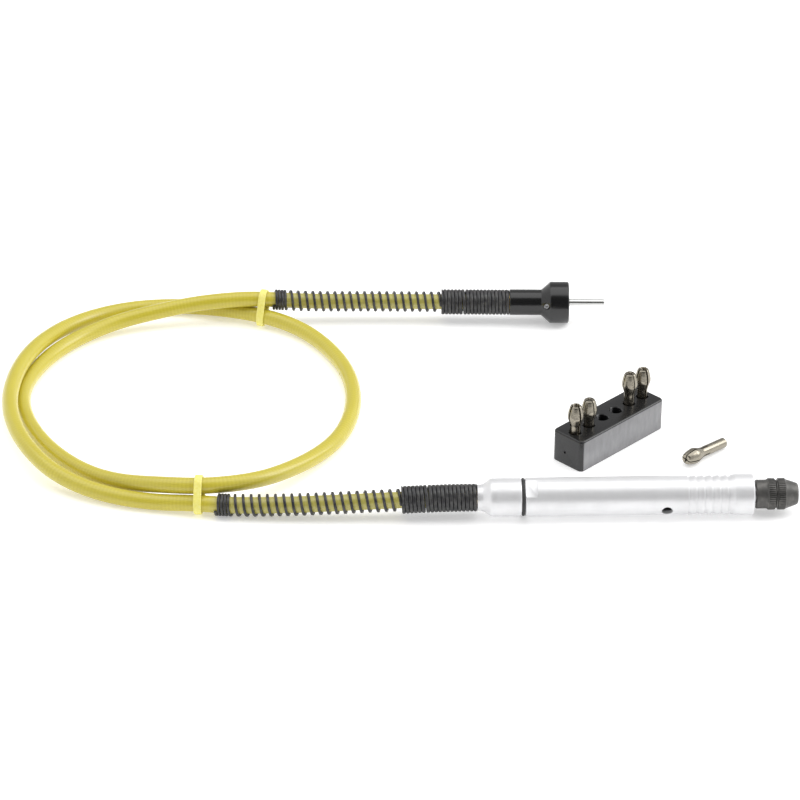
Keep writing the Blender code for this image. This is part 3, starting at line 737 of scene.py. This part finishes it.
# ---------------------------------------------------------------- drive coupling
def coupling_housing():
    """The flanged housing, drilled for its clamp screw."""
    profile = [(-28.7, 5.05), (-28.7, 6.0), (-28.4, 6.3), (-13.4, 6.3), (-9.3, 9.95), (-8.7, 10.15),
               (-0.5, 10.15), (0, 9.7), (0, 4.4), (-5.0, 4.4), (-5.0, 4.6), (-14.3, 4.6), (-14.3, 5.05)]
    piece = turned("coupling_housing", profile, coupling_material(), DRIVE, ROOT, 128, 0.35)
    combine(piece, radial_drill(SCREW_R, 40, DRIVE, SCREW_X, SCREW_TURN))
    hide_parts("drive_housing")


def drive_pin():
    """The bright pin that a drill's collet holds, with its shoulder inside the housing."""
    profile = [(-7.9, 0), (-7.9, 2.15), (-14.0, 2.15), (-14.0, 2.8), (-5.1, 2.8), (-5.1, 1.6),
               (17.1, 1.6), (17.5, 1.25), (17.5, 0)]
    bright = turned_metal("bright_pin", (0.62, 0.62, 0.61), 0.2, DRIVE, 1500.0, 0.000004, 0.05)
    piece = turned("drive_shaft_pin", profile, bright, DRIVE, "drive_pin", 64, 0.15)
    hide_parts("drive_spindle")


# ---------------------------------------------------------------- collets and stand
def box_point(node, *shares):
    """A point in a CAD node's box: on each axis, 0 is its low side and 1 its high side."""
    low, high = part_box(node)
    return Vector([a + (b - a) * share for a, b, share in zip(low, high, shares)])


def row_turn():
    """The turn about Z that lays +X along the stand's row of holes."""
    row = box_point("collet_d", 0.5, 0.5, 0.5) - box_point("collet_a", 0.5, 0.5, 0.5)
    return Matrix.Rotation(math.atan2(row.y, row.x), 4, "Z")


def collet(name, body, place):
    """A nickel collet: round-nosed slotted head, waist and straight shank, from its tip along +X."""
    bore = BORES[name]
    outline = [(BORE_DEPTH, 0), (BORE_DEPTH, bore), (0, bore), (0, TIP_R), (0.5, 2.62), (2.6, 3.25),
               (5.0, 3.68), (6.2, 3.62), (8.0, 3.05), (9.8, 2.5), (10.6, SHANK_R),
               (COLLET_LENGTH - 0.4, SHANK_R), (COLLET_LENGTH, 2.1), (COLLET_LENGTH, 0)]
    metal = turned_metal(name + "_nickel", linear(152, 146, 133), 0.26, place, 1300.0, 0.000005, 0.05)
    piece = turned(name + "_body", outline, metal, place, body, 64, 0.5)
    slot = WIDE_SLOT if bore > WIDE_BORE else NARROW_SLOT
    for turn in SLOT_TURNS:
        combine(piece, box_bmesh((2 * SLOT_DEPTH, slot, SLOT_SPAN), (0, 0, 0), place, turn))
    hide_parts(name)


def standing_collets():
    """The four collets in the stand, heads up."""
    for letter in "abcd":
        name = "collet_" + letter
        tip = Matrix.Translation(box_point(name, 0.5, 0.5, 1))
        collet(name, name, tip @ row_turn() @ Matrix.Rotation(math.pi / 2, 4, "Y"))


def loose_collet():
    """The collet on the floor, which lies on its head and the end of its shank."""
    tilt = math.atan((LOOSE_REST_R - SHANK_R) / (COLLET_LENGTH - LOOSE_REST_X))
    corner = box_point("collet_loose", 0, 0, 0)
    lift = LOOSE_REST_R * math.cos(tilt) + LOOSE_REST_X * math.sin(tilt) + LOOSE_CLEARANCE
    tip = (corner.x + TIP_R * MM * math.sin(LOOSE_YAW), corner.y + TIP_R * MM * math.cos(LOOSE_YAW),
           lift * MM)
    turn = Matrix.Rotation(LOOSE_YAW, 4, "Z") @ Matrix.Rotation(tilt, 4, "Y")
    collet("collet_loose", ROOT, Matrix.Translation(tip) @ turn)


def fitted_collet():
    """The collet inside the chuck, which looks out of the nut."""
    tip = Matrix.Translation(box_point("collet_fitted", 1, 0.5, 0.5))
    collet("collet_fitted", "handpiece_spindle", tip @ Matrix.Rotation(math.pi, 4, "Z"))


def stand_bmesh(height, place):
    """The block, with softened corners, rim and foot."""
    bm = box_bmesh((STAND_LENGTH, STAND_WIDTH, height), (0, 0, height / 2), Matrix())
    upright = [e for e in bm.edges if abs(e.verts[0].co.z - e.verts[1].co.z) > 1e-6]
    soften(bm, upright, STAND_CORNER, 8)
    near = 0.01                           # an edge this close to the top or the bottom lies in it
    rim = [e for e in bm.edges if min(v.co.z for v in e.verts) > (height - near) * MM]
    soften(bm, rim, STAND_RIM, 5)
    foot = [e for e in bm.edges if max(v.co.z for v in e.verts) < near * MM]
    soften(bm, foot, STAND_FOOT, 2)
    bmesh.ops.transform(bm, matrix=place, verts=bm.verts)
    return bm


def stand():
    """The moulded block with its row of chamfered holes and a small gate mark on one end."""
    height = (box_point("collet_stand", 0, 0, 1).z - box_point("collet_stand", 0, 0, 0).z) / MM
    middle = box_point("collet_stand", 0.5, 0.5, 0)
    place = Matrix.Translation((middle.x, middle.y, 0)) @ row_turn()
    piece = add_mesh("stand_block", stand_bmesh(height, place), stand_material(place), ROOT)
    upwards = Matrix.Rotation(-math.pi / 2, 4, "Y")
    for i in range(HOLES):
        along = (i - (HOLES - 1) / 2) * HOLE_PITCH
        mouth = Matrix.Translation((along * MM, 0, height * MM))
        combine(piece, turned_bmesh(HOLE, 48, place @ mouth @ upwards))
    gate = Matrix.Translation((-STAND_LENGTH / 2 * MM, GATE_ASIDE * MM, GATE_RISE * height * MM))
    combine(piece, turned_bmesh([(-1, 0), (-1, 0.75), (0.5, 0.6), (0.5, 0)], 24, place @ gate))
    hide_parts("collet_stand")


# ---------------------------------------------------------------- carried-over CAD nodes
def inner_parts():
    """Materials for the CAD nodes that keep their shape."""
    finishes = {"steel": turned_metal("ground_steel", (0.56, 0.56, 0.57), 0.28, HANDPIECE),
                "brass": turned_metal("turned_brass", (0.80, 0.60, 0.28), 0.3, HANDPIECE),
                "black_steel": black_metal("dark_clip", HANDPIECE)}
    for entry in frame["record"]["subparts"]:
        finish = finishes.get(entry["material_slot"])
        if finish is not None:
            materials = frame["nodes"][entry["node"]].data.materials
            materials.clear()
            materials.append(finish)


# ---------------------------------------------------------------- room
def camera():
    """A long lens that looks down at the bench."""
    made = bpy.data.objects.new("camera", bpy.data.cameras.new("camera"))
    made.data.sensor_width = SENSOR
    made.data.lens = SENSOR * FOCAL_RATIO
    made.data.clip_end = 10
    back = Vector((0, -math.cos(VIEW_RISE), math.sin(VIEW_RISE))) * VIEW_DISTANCE
    back.rotate(Matrix.Rotation(VIEW_YAW, 3, "Z"))
    made.location = VIEW_TARGET + back
    made.rotation_euler = (VIEW_TARGET - made.location).to_track_quat("-Z", "Y").to_euler()
    bpy.context.scene.collection.objects.link(made)
    bpy.context.scene.camera = made


def area_light(name, at, size, power):
    """A soft box that faces the origin."""
    lamp = bpy.data.lights.new(name, "AREA")
    lamp.shape = "RECTANGLE"
    lamp.size, lamp.size_y = size
    lamp.energy = power
    made = bpy.data.objects.new(name, lamp)
    made.location = at
    made.rotation_euler = (-Vector(at)).to_track_quat("-Z", "Y").to_euler()
    bpy.context.scene.collection.objects.link(made)


def room_light():
    """White walls, with the dark of the room behind the camera and low behind the object."""
    world = bpy.data.worlds.new("studio")
    world.use_nodes = True
    nodes, links = world.node_tree.nodes, world.node_tree.links
    direction = nodes.new("ShaderNodeTexCoord").outputs["Generated"]
    both = nodes.new("ShaderNodeMath")
    both.operation = "MULTIPLY"
    # Towards where it is dark, how close to that the fade starts and ends, and what light is left.
    dark_parts = [((0.0, -0.86, 0.51), 0.6, 0.96, 0.16), ((0.0, 0.88, 0.47), 0.8, 0.97, 0.5)]
    for (towards, start, end, left), factor in zip(dark_parts, both.inputs):
        dot = nodes.new("ShaderNodeVectorMath")
        dot.operation = "DOT_PRODUCT"
        dot.inputs[1].default_value = towards
        links.new(direction, dot.inputs[0])
        fade = nodes.new("ShaderNodeMapRange")
        fade.interpolation_type = "SMOOTHSTEP"
        fade.inputs["From Min"].default_value = start
        fade.inputs["From Max"].default_value = end
        fade.inputs["To Min"].default_value = 1.0
        fade.inputs["To Max"].default_value = left
        links.new(dot.outputs["Value"], fade.inputs["Value"])
        links.new(fade.outputs["Result"], factor)
    links.new(both.outputs[0], nodes["Background"].inputs["Strength"])
    nodes["Background"].inputs["Color"].default_value = (1.0, 1.0, 1.0, 1.0)
    bpy.context.scene.world = world


def floor():
    """A pale floor that glows a little, so that it stays near white."""
    bm = bmesh.new()
    bmesh.ops.create_grid(bm, x_segments=1, y_segments=1, size=3.0)
    made = Shader("floor", (0.9, 0.9, 0.9), 0.9)
    grain = made.noise(made.place(), 30.0)
    made.tint(made.spread(grain, 0.0, 1.0), (0.895, 0.895, 0.895), (0.905, 0.905, 0.905))
    made.set({"Emission Color": (1.0, 1.0, 1.0, 1.0), "Emission Strength": 0.35})
    add_mesh("floor", bm, made.material, None)


def studio():
    """The floor, the room round it and two broad soft lights."""
    floor()
    room_light()
    area_light("overhead", (0.0, 0.15, 1.4), (2.4, 1.4), 10.0)
    area_light("right", (1.3, 0.15, 0.9), (0.9, 0.9), 9.0)
    bpy.context.scene.view_settings.view_transform = "Standard"


def shaft():
    """The casing as a cord, with the ties and springs on it."""
    line = shaft_line()
    sheath, path = casing(line)
    tie = tie_material()
    lower = cable_tie("lower_band", line, LOWER_TIE_SPOT, "lower_tie", tie)
    upper = cable_tie("upper_band", line, UPPER_TIE_SPOT, "upper_tie", tie)
    springs(line)


def handpiece():
    """Every turned piece of the handpiece that can be seen."""
    metal = turned_metal("satin_aluminium", (0.80, 0.80, 0.81), 0.38, HANDPIECE, metallic=0.45)
    black = black_metal("black_chuck", HANDPIECE)
    barrel(metal)
    back_cap(metal)
    seal()
    nose_collar(black)
    chuck_nut(black)


def main():
    camera()
    shaft()
    handpiece()
    coupling_housing()
    drive_pin()
    standing_collets()
    loose_collet()
    fitted_collet()
    stand()
    inner_parts()
    studio()


main()
